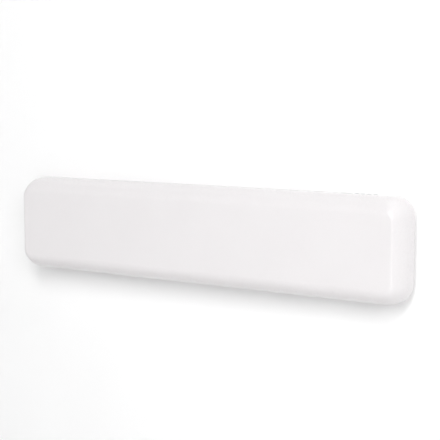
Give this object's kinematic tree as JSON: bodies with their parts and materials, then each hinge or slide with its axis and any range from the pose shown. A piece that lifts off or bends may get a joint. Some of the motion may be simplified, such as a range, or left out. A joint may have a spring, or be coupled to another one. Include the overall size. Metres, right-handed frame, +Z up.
{
  "type": "panel heater",
  "caption": "Low wall-hung electric panel heater with a smooth drawn cover, hung on a wall bracket so that its bottom swings out, with push buttons on top and a rocker switch underneath.",
  "frame": {"origin": "centre of the wall bracket's hole pattern, on the wall plane", "axes": "+X to the heater's right seen from the room, +Y into the wall, +Z up"},
  "size_m": [1.15, 0.1, 0.2537],
  "materials": {
    "white_steel": "smooth satin powder coat",
    "zinc_steel": "zinc plated",
    "bare_aluminium": "mill finish",
    "element_steel": "heat tinted",
    "steatite": "matte",
    "brass": "plated",
    "white_plastic": "fine grain",
    "button_plastic": "smooth",
    "black_plastic": "fine grain",
    "grey_plastic": "fine grain",
    "board": "solder mask",
    "milky_window": "translucent",
    "blue_part": "moulded",
    "terminal_green": "moulded",
    "rubber": "matte",
    "lead_sleeve": "silicone"
  },
  "bodies": {
    "bracket": {"bracket_upright_left": "white_steel", "bracket_upright_right": "white_steel", "bracket_rail": "white_steel", "bracket_rivets": "zinc_steel", "bracket_bumpers": "rubber"},
    "heater": {"front_cover": "white_steel", "cover_screws": "zinc_steel", "outlet_grille": "white_steel", "inlet_grille": "white_steel", "back_panel": "white_steel", "hanger_left": "zinc_steel", "hanger_right": "zinc_steel", "hanger_pins": "zinc_steel", "panel_rivets": "zinc_steel", "panel_screws": "zinc_steel", "element_fins": "bare_aluminium", "element_rod": "element_steel", "element_terminals": "brass", "element_support_left": "zinc_steel", "element_support_right": "zinc_steel", "element_bushes": "steatite", "heat_shield": "bare_aluminium", "overheat_cutout": "black_plastic", "spade_terminals": "brass", "electronics_tray": "grey_plastic", "tray_lid": "grey_plastic", "power_board": "board", "board_screws": "zinc_steel", "relay": "blue_part", "transformer": "black_plastic", "capacitor": "blue_part", "mains_terminal_block": "terminal_green", "element_terminal_blocks": "terminal_green", "board_sockets": "white_plastic", "control_housing": "white_plastic", "control_panel": "white_plastic", "display_window": "milky_window", "display_board": "board", "digit_display": "black_plastic", "tact_switches": "black_plastic", "radio_module": "zinc_steel", "switch_housing": "black_plastic", "switch_axle": "zinc_steel", "sensor_cap": "white_plastic", "sensor_bead": "black_plastic", "cord_gland": "black_plastic", "gland_nut": "black_plastic", "earth_stud": "zinc_steel", "earth_nut": "brass", "element_lead_left": "lead_sleeve", "element_lead_right": "lead_sleeve", "wire_clips": "white_plastic", "drop_leads": "lead_sleeve", "display_ribbon": "grey_plastic"},
    "power_cap": {"button_power": "button_plastic"},
    "down_cap": {"button_down": "button_plastic"},
    "up_cap": {"button_up": "button_plastic"},
    "menu_cap": {"button_menu": "button_plastic"},
    "rocker": {"switch_rocker": "black_plastic"}
  },
  "joints": [
    {"name": "heater_tilt", "type": "hinge", "parent": "bracket", "child": "heater", "pos_m": [0, -0.009, 0.092], "axis": [-1, 0, 0], "range_deg": [0, 20]},
    {"name": "power_press", "type": "slide", "parent": "heater", "child": "power_cap", "axis": [0, 0, -1], "range_m": [0, 0.0008], "stiffness_N_per_m": 400, "springref_m": -0.002},
    {"name": "down_press", "type": "slide", "parent": "heater", "child": "down_cap", "axis": [0, 0, -1], "range_m": [0, 0.0008], "stiffness_N_per_m": 400, "springref_m": -0.002},
    {"name": "up_press", "type": "slide", "parent": "heater", "child": "up_cap", "axis": [0, 0, -1], "range_m": [0, 0.0008], "stiffness_N_per_m": 400, "springref_m": -0.002},
    {"name": "menu_press", "type": "slide", "parent": "heater", "child": "menu_cap", "axis": [0, 0, -1], "range_m": [0, 0.0008], "stiffness_N_per_m": 400, "springref_m": -0.002},
    {"name": "rocker_flip", "type": "hinge", "parent": "heater", "child": "rocker", "pos_m": [0.445, -0.0315, -0.119], "axis": [0, 1, 0], "range_deg": [0, 18]}
  ]
}
